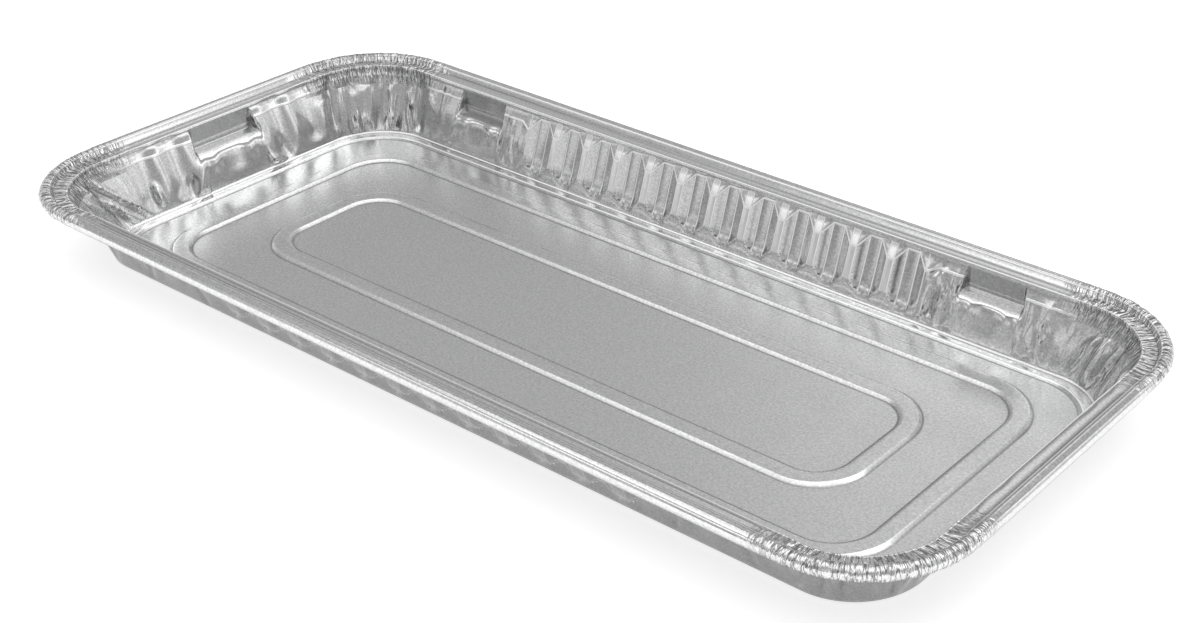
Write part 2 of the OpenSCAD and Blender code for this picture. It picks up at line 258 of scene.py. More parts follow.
def ring_xy(size, cols, out):
    """Plan of one row: a rounded rectangle of half length, half width and corner radius.

    A side column keeps its place along the side, apart from the last few millimetres (the columns'
    "stretch"), which lengthen or shorten to meet the row's own corner. A corner column lies at its
    turn. out moves each point outwards.
    """
    half = size[:2]
    r = size[2]
    side = cols["side"]
    ahead = np.stack([np.cos(side * np.pi / 2), np.sin(side * np.pi / 2)], 1)
    along = np.stack([-ahead[:, 1], ahead[:, 0]], 1)
    to_side = half[side % 2]
    straight = half[(side + 1) % 2] - r
    base = FOOT_STRAIGHT[side % 2]
    place = cols["place"]
    stretch = np.minimum(cols["stretch"], base)
    kept = base - stretch
    over = np.maximum(0.0, np.abs(place) - kept)
    stretched = np.sign(place) * (kept + over * (straight - kept) / stretch)
    placed = np.where(over > 0, stretched, place)
    turned = ahead * np.cos(cols["turn"])[:, None] + along * np.sin(cols["turn"])[:, None]
    on_corner = (
        ahead * (to_side - r)[:, None]
        + along * straight[:, None]
        + turned * (r + out)[:, None]
    )
    on_side = ahead * (to_side + out)[:, None] + along * placed[:, None]
    return np.where(cols["corner"][:, None], on_corner, on_side)


def side_share(cols):
    """How much a column belongs to the long sides: 0 on the ends, 1 on the sides, sin^2 between."""
    on_end = cols["side"] % 2 == 0
    s = np.sin(cols["turn"]) ** 2
    corner = np.where(on_end, s, 1 - s)
    return np.where(cols["corner"], corner, np.where(on_end, 0.0, 1.0))


wall_cols = make_columns(CORNER_STEPS, side_places, SIDE_STRETCH)
W_SHARE = side_share(wall_cols)
SIDE = wall_cols["side"]
CORNER = wall_cols["corner"]
ON_LONG = ~CORNER & (SIDE % 2 == 1)
ON_END = ~CORNER & (SIDE % 2 == 0)
# Place along the straight walls from their middle, against the clock as seen from above
PLACE = wall_cols["place"]
ZERO = np.zeros(len(PLACE))
# 1 along the row of flutes, and distance of a column from the middle of the nearest flute
FLUTE_ROW = ON_LONG * (1 - smooth((np.abs(PLACE) - ROW_HALF + ROW_BEFORE) / ROW_BLEND))
FLUTE_AT = np.abs(np.mod(PLACE, FLUTE_PITCH) - FLUTE_PITCH / 2)


def flute_weight():
    """1 on a flute's bed, 0 on the ribs between flutes, and straight between."""
    w = np.clip((FLUTE_W / 2 - FLUTE_AT) / ((FLUTE_W - FLUTE_BED) / 2), 0, 1)
    return np.where(ON_LONG & (np.abs(PLACE) < ROW_HALF), w, 0.0)


def wave_weight():
    """Soft hollows of the ends, on both sides of the lug: the root of a raised cosine on each."""
    total = ZERO.copy()
    for i in range(WAVE_N):
        middle = WAVE_FROM + (i + 0.5) * WAVE_PITCH
        t = (np.abs(PLACE) - middle) / (WAVE_W / 2)
        total += np.where(np.abs(t) < 1, 0.5 + 0.5 * np.cos(np.pi * t), 0.0)
    return np.where(ON_END, np.sqrt(total), 0.0)


def lug_weight(h):
    """1 inside a lug and 0 outside it, and the place across it: 1 is its edge.

    A lug's side walls spread by the flare from the rim down.
    """
    flare = LUG_FLARE * np.clip((RIM_Z - FOOT_Z - h) / LUG_FLARE_H, 0, 1)
    half = np.where(ON_LONG, LUG_SIDE_W / 2, LUG_END_W / 2)
    middle = np.where(ON_LONG, LUG_PLACE, 0.0)
    off = np.abs(np.abs(PLACE) - middle)
    w = 1 - smooth((off - half - flare + LUG_WALL_IN) / LUG_WALL_W)
    return np.where(CORNER, 0.0, w), off / half


def blended(end, side):
    """A size for each column: the ends' to the long sides', blended round the corners."""
    return end + (side - end) * W_SHARE


FLUTE = flute_weight()
WAVE = wave_weight()
# Heights and widths of the profile's parts
SLOPE_H_SIDE = RIM_Z - STEP_SIDE_H - LEDGE_SIDE_H - FOOT_Z
SLOPE_H_END = RIM_Z - STEP_END_H - LEDGE_END_H - FOOT_Z
SLOPE_H = blended(SLOPE_H_END, SLOPE_H_SIDE)
SLOPE_RUN = blended(SLOPE_END, SLOPE_SIDE)
LEDGE_RUN = blended(LEDGE_END_W, LEDGE_SIDE_W)
LEDGE_H = blended(LEDGE_END_H, LEDGE_SIDE_H)
STEP_H = RIM_Z - FOOT_Z - SLOPE_H - LEDGE_H


def slope_out(share):
    """How far the plain slope lies outside its foot at a share of its height, with its sag."""
    return SLOPE_RUN * share - SLOPE_SAG * np.sin(np.pi * np.clip(share, 0, 1))


HIP_OUT = slope_out(FLUTE_HIP_H / SLOPE_H)
# How far a flute's bed goes out for each millimetre up, from its hip to under the step
BED_LEAN = (
    (SLOPE_RUN + BED_TOP_OUT - HIP_OUT - FLUTE_D) / (SLOPE_H + BED_TOP_RISE - FLUTE_HIP_H)
)


def bed_out(height):
    """A flute's bed at a height above the foot: one straight line through its hip."""
    return HIP_OUT + FLUTE_D + BED_LEAN * (height - FLUTE_HIP_H)


def rib_out(height):
    """The ribs between flutes: the plain slope up to the hip, then straight, as steep as a bed."""
    low = slope_out(height / SLOPE_H) - RIB_D * smooth(height / FLUTE_HIP_H)
    high = HIP_OUT - RIB_D + BED_LEAN * (height - FLUTE_HIP_H)
    return np.where(height > FLUTE_HIP_H, high, low)


def flute_grown(height):
    """How far a flute has opened: a soft ramp at the foot of a bed, a short one under each facet.

    A facet begins lower at the bed's crease than at the rib's, so its lower end is slanted.
    """
    on_bed = FLUTE > 0.97
    start = np.where(on_bed, BED_RAMP[0], FACET_RAMP[0] - FACET_RAMP[1] * FLUTE)
    length = np.where(on_bed, BED_RAMP[1], FACET_RAMP[2])
    return smooth((height - start) / length)


def crease_field(u, h, folds):
    """Sum of sharp folds: each is a tent across a leaning line, faded out at both of its ends.

    A fold is (place, height, lean, half width, half length, depth).
    """
    total = np.zeros(len(u))
    for place, height, lean, half_w, half_l, depth in folds:
        c, s = math.cos(lean), math.sin(lean)
        across = (u - place) * c - (h - height) * s
        down = (u - place) * s + (h - height) * c
        total += depth * tent(across / half_w) * smooth(1.6 - 1.6 * np.abs(down / half_l))
    return total


def random_folds(n, place, height, lean, half_w, half_l, depth):
    """Folds drawn evenly from ranges; every other one goes the other way."""
    draw = [rng.uniform(*sorted(r), n) for r in (place, height, lean, half_w, half_l, depth)]
    draw[5] = draw[5] * np.where(np.arange(n) % 2 == 0, 1, -1)
    return list(zip(*draw))


def line_fold(start, end, half_w, depth):
    """A fold along the straight line between two points, each a place and a height."""
    run = end[0] - start[0]
    rise = end[1] - start[1]
    if rise < 0:
        run, rise = -run, -rise
    middle = ((start[0] + end[0]) / 2, (start[1] + end[1]) / 2)
    return (*middle, math.atan2(run, rise), half_w, math.hypot(run, rise) / 2 + half_w, depth)


def corner_distance(q):
    """Distance along the wall's foot from the start of corner q, or FAR for columns not near it."""
    before = ~CORNER & (SIDE == q) & (PLACE > 0)
    after = ~CORNER & (SIDE == (q + 1) % 4) & (PLACE < 0)
    half = FOOT_STRAIGHT[SIDE % 2]
    u = np.where(CORNER & (SIDE == q), wall_cols["turn"] / (math.pi / 2) * ARC, FAR)
    u = np.where(before, PLACE - half, u)
    return np.where(after, ARC + PLACE + half, u)


CORNER_U = [corner_distance(q) for q in range(4)]
# How far past a corner its folds may reach, the deepest folds inwards and outwards, and the heights
# over which the folds begin and end
CORNER_REACH = 26
CORNER_DEEPEST = (-1.8, 1.6)
CORNER_BEGIN = 3.5
CORNER_END = (26.6, 2.0)

# Folds of the corners by number: 0 is the back right one, then the back left, the front left and
# the front right one. Each set is random_folds' count and ranges.
CORNER_STYLES = [
    [
        (7, (6, 36), (9, 16), (-0.3, 0.1), (2.2, 4.2), (11, 16), (0.6, 1.3)),
        (8, (4, 44), (5, 22), (-0.4, 0.2), (1.1, 2.2), (5, 12), (0.4, 0.9)),
    ],
    [
        (8, (0, 46), (9, 16), (-0.15, 0.15), (2.6, 4.6), (11, 16), (0.7, 1.4)),
        (13, (-8, 52), (6, 22), (-0.25, 0.25), (1.2, 2.6), (5, 13), (0.4, 1.0)),
    ],
    [
        (7, (8, 42), (9, 16), (0.1, 0.45), (1.8, 3.8), (11, 16), (0.6, 1.3)),
        (9, (-2, 46), (5, 24), (0.0, 0.6), (1.1, 2.2), (5, 12), (0.4, 0.9)),
    ],
    [
        (8, (2, 44), (9, 16), (-0.3, 0.3), (1.8, 3.8), (11, 16), (0.6, 1.3)),
        (12, (-6, 50), (5, 24), (-0.4, 0.4), (1.1, 2.2), (5, 12), (0.4, 0.9)),
    ],
]
# Short folds under the flange, all round each corner
TOP_STYLE = (17, (-3, 47), (22, 28), (-0.35, 0.35), (0.9, 1.5), (2.5, 6), (0.25, 0.65))
# Single folds of the corners that the photograph shows: corner, start, end, half width and depth.
# A negative depth stands in towards the inside of the pan.
CORNER_LINES = [
    (0, (32, 2), (27, 22), 1.0, 1.2),
    (0, (30.4, 2), (25.4, 22), 1.0, -1.0),
    (0, (20, 1), (17, 26), 5.0, -1.5),
    (0, (11, 1), (8, 26), 3.6, 1.2),
    (0, (41, 12), (33, 26), 1.1, -0.9),
    (0, (42.4, 12), (34.6, 26), 1.0, 0.9),
    (1, (26, 4), (26, 15), 1.1, -1.0),
    (1, (3, 26), (6, 12), 1.2, -0.8),
    (2, (-6, 1), (12, 27), 1.7, -1.3),
    (2, (-3, 1), (15, 27), 1.5, 1.3),
    (2, (0, 1), (19, 27), 1.7, -1.1),
    (2, (-12, 4), (-11, 12), 1.8, -1.0),
]
# The fan of fine folds beside the back right corner: count, first and last place at the foot, first
# and last place at the top, and the heights of its foot and top
FAN = (9, 41.0, 58.0, 32.0, 68.0, 2.0, 26)
FAN_HALF_W = 1.3


def fan_folds():
    """Fine folds that spread from the foot like a fan, the middle ones the longest."""
    n, foot_a, foot_b, top_a, top_b, low, full = FAN
    folds = []
    for i in range(n):
        share = i / (n - 1)
        foot = foot_a + (foot_b - foot_a) * share + rng.uniform(-0.4, 0.4)
        top = top_a + (top_b - top_a) * share + rng.uniform(-0.8, 0.8)
        sign = 1 if i % 2 else -1
        high = rng.uniform(17, 23) - 8 * abs(share - 0.4)
        depth = sign * rng.uniform(0.35, 0.7)
        end = (foot + (top - foot) * high / full, high)
        folds.append(line_fold((foot, low), end, FAN_HALF_W, depth))
    return folds


def all_corner_folds():
    """The folds of each corner: random ones, short ones under the flange, the fan and the lines."""
    out = []
    for styles in CORNER_STYLES:
        out.append([f for style in styles + [TOP_STYLE] for f in random_folds(*style)])
    out[0] += fan_folds()
    for q, start, end, half_w, depth in CORNER_LINES:
        out[q].append(line_fold(start, end, half_w, depth))
    return out


CORNER_FOLDS = all_corner_folds()


def corner_out(h):
    """Depth of the corner pleats at each column's height, from the folds of each corner."""
    total = ZERO.copy()
    for q in range(4):
        here = (CORNER_U[q] > -CORNER_REACH) & (CORNER_U[q] < ARC + CORNER_REACH)
        total[here] += crease_field(CORNER_U[q][here], h[here], CORNER_FOLDS[q])
    ended = smooth((h - CORNER_END[0]) / CORNER_END[1])
    return np.clip(total, *CORNER_DEEPEST) * smooth(h / CORNER_BEGIN) * (1 - ended)


# Folds of the straight walls: side number, start, end, half width and depth. A place is along the
# wall from its middle, against the clock as seen from above.
WALL_LINES = [
    (1, (-121.6, 7), (-121.6, 26), 0.9, -0.7),
    (1, (-146, 12), (-151, 2.5), 1.0, -1.0),
    (1, (-112.6, 5), (-113.2, 14), 2.6, 1.5),
    (1, (-117.5, 4), (-117.0, 20), 1.0, -0.9),
    (1, (-110, 20), (-117, 25), 1.2, 0.7),
    (1, (-119, 16), (-115, 10), 1.1, 0.8),
    (1, (122.3, 3), (122.3, 26), 0.9, 1.0),
    (1, (148.6, 8), (148.6, 14), 1.3, -1.0),
    (1, (124.0, 8), (124.6, 13), 1.8, -0.9),
    (1, (116.6, 4), (118.0, 22), 1.4, -0.7),
    (2, (18.5, 1), (6.5, 12), 2.3, -1.5),
    (2, (-22.0, 1), (-10.0, 11), 2.3, -1.5),
    (2, (8.0, 15.4), (-2.0, 11.6), 1.1, -0.7),
    (2, (41.0, 5), (41.0, 11), 1.9, -0.9),
    (2, (0.5, 2), (0.5, 10), 5.5, 0.9),
    (2, (25.5, 2), (23.5, 9), 3.0, 0.8),
    (2, (-28.0, 2), (-26.0, 9), 3.0, 0.8),
]
# Random folds beside each lug of the long sides, towards the flutes and towards the corner:
# count and random_folds' ranges but for the place
NEAR_STYLE = (10, (4, 22), (-0.9, 0.9), (0.9, 2.0), (3, 8), (0.3, 0.9))
FAR_STYLE = (8, (5, 23), (-0.5, 0.5), (1.2, 3.0), (5, 12), (0.2, 0.6))
# The foil is crushed most beside the back right lug (its side number and the sign of its place):
# share of the folds' depth there and at the other lugs
MOST_CRUSHED = (1, -1)
CRUSH = (0.8, 0.4)
# Heights over which the straight walls' folds begin and end
ROOM_BEGIN = 3.0
ROOM_END = (24.0, 3.0)


def room_folds():
    """Folds of the foil beside each lug of the long sides, and the single ones of WALL_LINES."""
    out = [(side, [line_fold(a, b, w, d)]) for side, a, b, w, d in WALL_LINES]
    edge = LUG_SIDE_W / 2
    for s in (-1, 1):
        for side in (1, 3):
            crush = CRUSH[0] if (side, s) == MOST_CRUSHED else CRUSH[1]
            n, *ranges = NEAR_STYLE
            folds = random_folds(n, (s * (ROW_HALF + 1), s * (LUG_PLACE - edge - 1)), *ranges)
            out.append((side, [(*f[:5], f[5] * crush) for f in folds]))
            n, *ranges = FAR_STYLE
            far = (s * (LUG_PLACE + edge + 3), s * (FOOT_STRAIGHT[1] - 2))
            out.append((side, random_folds(n, far, *ranges)))
    return out


ROOM_FOLDS = room_folds()


def room_out(h):
    """Depth of the straight walls' folds at each column's height; none on the flutes."""
    total = ZERO.copy()
    for side, folds in ROOM_FOLDS:
        here = ~CORNER & (SIDE == side)
        total[here] += crease_field(PLACE[here], h[here], folds)
    ended = smooth((h - ROOM_END[0]) / ROOM_END[1])
    return total * smooth(h / ROOM_BEGIN) * (1 - ended) * (1 - smooth(FLUTE * 20))


# Bulges under a lug's seat; places and widths are shares of the lug's half width. An ear is (place,
# width, depth under the lip, height, how far in), the hollow in the middle (width, depth under the
# lip, height, how far out), and the skirt (place, spread for each mm down, width, how far in).
EAR = (0.62, 0.2, 3.6, 3.4, 1.1)
HOLLOW = (0.38, 7.0, 4.5, 0.35)
SKIRT = (0.95, 0.03, 0.16, 0.7)
SKIRT_RAMP = 3
# All of them are shallower on the long sides
SIDE_PUCKER = 0.8


def pucker_out(h, off):
    """Bulges below a lug's seat: one towards each end of it, a hollow between them, and a skirt."""
    under = LUG_SEAT - LUG_FALL - FOOT_Z - h
    ears = bell((off - EAR[0]) / EAR[1]) * bell((EAR[2] - under) / EAR[3])
    hollow = bell(off / HOLLOW[0]) * bell((HOLLOW[1] - under) / HOLLOW[2])
    skirt = bell((off - SKIRT[0] - SKIRT[1] * under) / SKIRT[2])
    skirt = skirt * smooth(under / SKIRT_RAMP) * smooth(h / SKIRT_RAMP)
    shape = -EAR[4] * ears + HOLLOW[3] * hollow - SKIRT[3] * skirt
    scale = np.where(ON_LONG, SIDE_PUCKER, 1.0)
    return np.where(CORNER, 0.0, shape * scale * (under > 0))


def add_flutes(out, height, share, plain, ledge, step):
    """Bend a row into ribs and flutes: the ribs first, then each flute's bed as far as it is open.

    Near the slope's top the beds' line rises and the ribs' line drops, which draws the heads as
    half hexagons. Over the ledge both lines come together again.
    """
    near_top = smooth((SLOPE_H * share - HEAD_FROM) / (SLOPE_H - HEAD_FROM))
    rib_height = height - HEAD_DROP * near_top * (1 - ledge)
    bed_height = SLOPE_H * share + BED_TOP_RISE * near_top
    if ledge > 0:
        rib_place = plain + (rib_out(SLOPE_H - HEAD_DROP) - SLOPE_RUN) * (1 - ledge)
        bed_place = SLOPE_RUN + BED_TOP_OUT + (LEDGE_RUN - BED_TOP_OUT) * ledge
    else:
        rib_place = rib_out(rib_height)
        bed_place = bed_out(bed_height)
    bed_height = bed_height + (LEDGE_H - BED_TOP_RISE) * ledge + STEP_H * step
    grown = flute_grown(height)
    out = out + FLUTE_ROW * (rib_place - out)
    out = out + FLUTE * (bed_place - out) * grown
    height = height + FLUTE_ROW * (rib_height - height)
    height = height + FLUTE * (bed_height - height)
    return out, height


def add_lugs(out, height, slope):
    """Press a row's lugs in: the slope up to the lip, the seat, and the upright face behind it.

    The seat goes back with the square of its climb. Also returns the lugs' weight and place.
    """
    w_lug, off = lug_weight(height)
    lip = LUG_SEAT - LUG_FALL - FOOT_Z
    seat = LUG_SEAT - FOOT_Z
    climb = np.clip((height - lip + LUG_ROUND) / (seat - lip + LUG_ROUND), 0, 1)
    face = SLOPE_RUN + LEDGE_RUN
    seat_depth = face - SLOPE_RUN * seat / SLOPE_H + SLOPE_SAG * math.sin(math.pi * SEAT_SHARE)
    pressed = np.where(height > seat, face, slope + seat_depth * climb ** 2)
    return out + w_lug * (pressed - out), w_lug, off


def wall_row(h, above=0.0):
    """One row of the wall: the plan and the height of every column.

    Up to the ledge, h is the height above the foot on the long sides, and the ends and corners take
    the same share of their own slope. Over it, above runs from 0 at the ledge's inner edge over the
    ledge (to LEDGE_PART) and up the step to 1 at the flange.
    """
    share = h / SLOPE_H_SIDE
    ledge = min(above / LEDGE_PART, 1.0)
    step = max(0.0, (above - LEDGE_PART) / (1 - LEDGE_PART))
    size = FOOT + (LEDGE - FOOT) * share + (EDGE - LEDGE) * ledge
    plain = SLOPE_RUN * share + LEDGE_RUN * ledge
    slope = plain - SLOPE_SAG * math.sin(math.pi * share)
    height = SLOPE_H * share + LEDGE_H * ledge + STEP_H * step
    out, height = add_flutes(slope, height, share, plain, ledge, step)
    wave = smooth((height - WAVE_RAMP[0]) / WAVE_RAMP[1]) * (1 - above) ** WAVE_FADE
    out = out + WAVE * WAVE_D * wave
    out, w_lug, off = add_lugs(out, height, slope)
    out = out + corner_out(height) + room_out(height) * (1 - w_lug) + pucker_out(height, off)
    return np.column_stack([ring_xy(size, wall_cols, out - plain), FOOT_Z + height])


# Crimps of the rim: deeper marks on each corner, how far past it they fade, their ranges of half
# width and depth, and their share beside the random dip of every column
CRIMP_N = 40
CRIMP_PAST = 5
CRIMP_W = (0.9, 2.2)
CRIMP_DEPTH = (0.2, 1.0)
CRIMP_SHARE = 0.6


def crimps():
    """Uneven radial crimps of the rim, 0 to 1: dips only, on the corners and a little past them.

    Every column gets a random dip, and some stretches of a few columns get a deeper one.
    """
    total = ZERO.copy()
    reach = RIM[2] / FOOT_R
    half = ARC / 2 * reach
    for q in range(4):
        u = (CORNER_U[q] - ARC / 2) * reach
        mask = smooth((half + CRIMP_PAST - np.abs(u)) / CRIMP_PAST)
        marks = rng.uniform(-half, half, CRIMP_N)
        width = rng.uniform(*CRIMP_W, CRIMP_N)
        depth = rng.uniform(*CRIMP_DEPTH, CRIMP_N)
        deep = np.max(depth * tent((u[:, None] - marks) / width), axis=1)
        fine = rng.uniform(0, 1, len(u))
        total += mask * np.clip(CRIMP_SHARE * deep + (1 - CRIMP_SHARE) * fine, 0, 1)
    return np.clip(total, 0, 1)


CRIMP = crimps()
# Rows at the wall's foot (how far inside it), up the slope (heights above the foot on the long
# sides) and over the ledge and the step (shares of the way)
FOOT_ROWS = (1.2, 0.22)
SLOPE_ROWS = (0.3, 1.3, 2.3, 3.4, 4.5, 5.6, 6.8, 8.2, 10.3, 12.6, 14.6, 15.6, 16.3, 16.9, 17.6,
              18.2, 18.8, 20.3, 21.8, 22.7)
OVER_ROWS = (0.06, 0.32, 0.55, 0.66, 0.95)
# Rows of the flange: share of the way from its inner edge to the roll, how far out, and the crimps'
# depths outwards and upwards
FLANGE_ROWS = ((0.0, 0.3, 0.3, -0.12), (0.5, 0.0, 0.0, -0.3), (1.0, -0.35, 0.0, -0.35))
# Rows of the roll: degrees round it, from the flange over the top and down to its free edge
ROLL_ROWS = (176, 131, 125, 108, 90, 68, 45, 22, 0, -40, -90, -135)
ROLL_DIP_TOP = 0.5
ROLL_DIP_UNDER = 0.42
FLANGE_DIP = 0.3
# Numbers of the row along the ledge's lower edge, the flange's first and the roll's first row
CREST_ROW = len(FOOT_ROWS) + len(SLOPE_ROWS) - 1
EDGE_ROW = CREST_ROW + len(OVER_ROWS) + 1
ROLL_ROW = EDGE_ROW + len(FLANGE_ROWS)


def rim_row(size, out, z, crimp_out, crimp_up):
    """One row of the flange or the roll: a rounded rectangle, dipped where the crimps are."""
    xy = ring_xy(size, wall_cols, out + crimp_out * CRIMP)
    return np.column_stack([xy, z + crimp_up * CRIMP])


def build_wall_and_rim():
    """Rows from the foot of the wall to the free edge of the roll."""
    rows = []
    for inset in FOOT_ROWS:
        rows.append(np.column_stack([ring_xy(FOOT, wall_cols, ZERO - inset), ZERO + FOOT_Z]))
    rows += [wall_row(h) for h in SLOPE_ROWS]
    rows += [wall_row(SLOPE_H_SIDE, above) for above in OVER_ROWS]
    for share, out, crimp_out, crimp_up in FLANGE_ROWS:
        size = EDGE + (RIM - CURL_R - EDGE) * share
        rows.append(rim_row(size, out, RIM_Z, crimp_out, crimp_up))
    for angle in ROLL_ROWS:
        c, s = math.cos(math.radians(angle)), math.sin(math.radians(angle))
        dip = ROLL_DIP_TOP if angle > 0 else ROLL_DIP_UNDER
        up = -dip * s - (FLANGE_DIP if angle == ROLL_ROWS[0] else 0.0)
        rows.append(rim_row(RIM, CURL_R * c, RIM_Z + CURL_R * s, -dip * c, up))
    return np.array(rows)


# Half of a bead's profile, from its foot: distance from its middle line, and share of its height.
# The rows stand close together where it bends.
BEAD_HALF = ((5.05, 0.0), (4.65, 0.02), (4.3, 0.13), (3.25, 0.9), (2.9, 0.99), (2.4, 1.0))
# Distance of the flat rows beside a bead from its middle line, and radius of the row between rings
BEAD_CLEAR = 5.5
BETWEEN_RINGS_R = 20.7
# The middle panel's rows lie inside the inner bead by a first inset and shares of a reach
PANEL_INSET = 5.6
PANEL_REACH = FOOT[1] - RING_IN[1] - 12.0
PANEL_SHARES = (1.0, 0.75, 0.5, 0.25)
PANEL_LEAST_R = 2.0
# Rows of the raised strip: how far in from the wall's foot, how much more radius, and height
STRIP_FOOT = STRIP_W + STRIP_RUN
STRIP_ROWS = (
    (STRIP_FOOT + 0.7, -0.3, 0.0), (STRIP_FOOT + 0.12, 0.0, 0.02), (STRIP_FOOT - 0.3, 0.2, 0.2),
    (STRIP_W + 0.25, 1.4, STRIP_H - 0.14), (STRIP_W - 0.15, 1.6, STRIP_H),
    (STRIP_W - 0.6, 1.8, STRIP_H),
)


def ring_row(ring, inset, radius, z=0.0):
    """A row on or beside a bead ring, further in by an inset."""
    return (ring[0] + inset, ring[1] + inset, radius, z)


def bead_rows(ring):
    """Rows of a raised bead ring, from its inner foot to its outer foot."""
    profile = list(BEAD_HALF) + [(-e, z) for e, z in BEAD_HALF[::-1]]
    return [ring_row(ring, e, ring[2] - e, z * BEAD_H) for e, z in profile]


def build_floor(cols):
    """Rows of the floor from near its middle out to the raised strip, and each row's run.

    A row is (distance in from the wall's foot at the ends, the same at the sides, radius, height).
    Its run is that distance at the sides, taken as negative.
    """
    rows = []
    for share in PANEL_SHARES:
        inset = PANEL_INSET + share * PANEL_REACH
        rows.append(ring_row(RING_IN, inset, max(PANEL_LEAST_R, RING_IN[2] - inset)))
    rows.append(ring_row(RING_IN, BEAD_CLEAR, RING_IN[2] - BEAD_CLEAR))
    rows += bead_rows(RING_IN)
    rows.append(ring_row(RING_IN, -BEAD_CLEAR, RING_IN[2] + 0.6))
    between = [(a + b) / 2 for a, b in zip(RING_IN, RING_OUT)]
    rows.append(ring_row(between, 0.0, BETWEEN_RINGS_R))
    rows.append(ring_row(RING_OUT, BEAD_CLEAR, RING_OUT[2] - 1.5))
    rows += bead_rows(RING_OUT)
    rows.append(ring_row(RING_OUT, -BEAD_CLEAR, STRIP_R - 1.4))
    rows += [(inset, inset, STRIP_R + more, z) for inset, more, z in STRIP_ROWS]
    out = []
    zero = np.zeros(len(cols["place"]))
    for in_end, in_side, radius, z in rows:
        size = np.array([FOOT[0] - in_end, FOOT[1] - in_side, radius])
        out.append(np.column_stack([ring_xy(size, cols, zero), zero + HALF + z]))
    return np.array(out), np.array([-row[1] for row in rows])


def grid_faces(start, rows, cols):
    """Quads of a grid that closes on itself sideways, turned to face up.

    Rows run outwards and columns against the clock. Column j meets column j + 1, row i row i + 1.
    """
    i, j = np.meshgrid(np.arange(rows - 1), np.arange(cols), indexing="ij")
    k = (j + 1) % cols
    a = start + i * cols + j
    b = start + i * cols + k
    c = start + (i + 1) * cols + k
    d = start + (i + 1) * cols + j
    return np.stack([d, c, b, a], -1).reshape(-1, 4)


def zip_faces(inner_start, inner, outer_start, outer):
    """Triangles between two rings with their own columns, each joined to the nearest in address."""
    last = 8.0
    inner_next = np.append(inner[1:], last)
    outer_next = np.append(outer[1:], last)
    middles = (inner + inner_next) / 2
    i = np.arange(len(inner))
    j = np.arange(len(outer))
    near = np.searchsorted(outer, middles, side="right") - 1
    first = [outer_start + near, inner_start + (i + 1) % len(i), inner_start + i]
    at = np.searchsorted(middles, outer_next, side="left") % len(i)
    second = [outer_start + j, outer_start + (j + 1) % len(j), inner_start + at]
    return np.concatenate([np.stack(first, 1), np.stack(second, 1)])


def skin_normals(points, quads, tris):
    """Upward normal of every point: the sum of the face normals round it."""
    normal = np.zeros_like(points)
    q = points[quads]
    quad_normal = np.cross(q[:, 2] - q[:, 0], q[:, 3] - q[:, 1])
    for k in range(4):
        np.add.at(normal, quads[:, k], quad_normal)
    t = points[tris]
    tri_normal = np.cross(t[:, 1] - t[:, 0], t[:, 2] - t[:, 0])
    for k in range(3):
        np.add.at(normal, tris[:, k], tri_normal)
    return normal / np.linalg.norm(normal, axis=1)[:, None]


# How fast a normal turns, in radians per millimetre, at a fold that counts as sharp
SHARP_BEND = 0.45


def fold_value(points, normal, quads):
    """How sharply the sheet is folded at each point: 0 in a valley, 0.5 on a flat, 1 on a ridge.

    It is the mean, over the sides of the quads that meet there, of how fast the normal turns along
    the side, drawn into 0 to 1 with a tanh.
    """
    turn = np.zeros(len(points))
    count = np.zeros(len(points))
    for k in range(4):
        a = quads[:, k]
        b = quads[:, (k + 1) % 4]
        step = points[b] - points[a]
        bend = ((normal[b] - normal[a]) * step).sum(1) / np.maximum((step ** 2).sum(1), 0.01)
        for end in (a, b):
            np.add.at(turn, end, bend)
            np.add.at(count, end, 1)
    return 0.5 + 0.5 * np.tanh(turn / np.maximum(count, 1) / SHARP_BEND)


# A column with no form on it
PLAIN_COLUMN = 0
# The profile's own valleys have painted highlight and shade lines, so the folds' painted shade is
# held up there: over this value, from the ledge on and in the first rows of the wall
LEAST_FOLD = 0.42
FOOT_FOLD_ROWS = 3
# Value of "flute_at" away from the flutes, larger than any distance on them
OFF_FLUTES = 90.0
# How far past a corner its gathers reach, and the length over which they fade; and how far apart
# the corners' distances start, so that no two corners look the same
GATHER_PAST = 10
GATHER_FADE = 12
NEXT_CORNER = 100


def corner_marks():
    """For each column, how much it gathers at a corner, and its distance round that corner."""
    gather = ZERO.copy()
    along = ZERO.copy()
    for q in range(4):
        past = np.abs(CORNER_U[q] - ARC / 2) - ARC / 2
        gather += smooth((GATHER_PAST - past) / GATHER_FADE)
        along += np.where(past < GATHER_FADE, CORNER_U[q] + NEXT_CORNER * q, 0)
    return gather, along


def surface_marks(floor_run, wall_run, floor_cols_n):
    """Numbers that the foil's material reads at each point of one skin.

    "run" is the distance along the profile from the wall's foot, negative on the floor, and "crest"
    the same from the ledge's lower edge.
    """
    floor_n = len(floor_run) * floor_cols_n

    def on_wall(value, elsewhere=0.0):
        """A value of each column, given to all rows of the wall, and another for the floor."""
        return np.concatenate([np.full(floor_n, elsewhere), np.tile(value, len(wall_run))])

    gather, along = corner_marks()
    run = np.concatenate([
        np.repeat(floor_run, floor_cols_n), np.repeat(wall_run, len(PLACE)),
    ])
    lug = lug_weight(ZERO + LUG_SEAT)[0]
    return {
        "gather": on_wall(gather),
        "along": on_wall(along),
        "run": run,
        "crest": run - wall_run[CREST_ROW],
        "flute_at": on_wall(np.where(FLUTE_ROW > 0.9, FLUTE_AT, OFF_FLUTES), OFF_FLUTES),
        "slant": on_wall((1 - FLUTE) * FACET_RAMP[1]),
        "lug": on_wall(lug),
    }


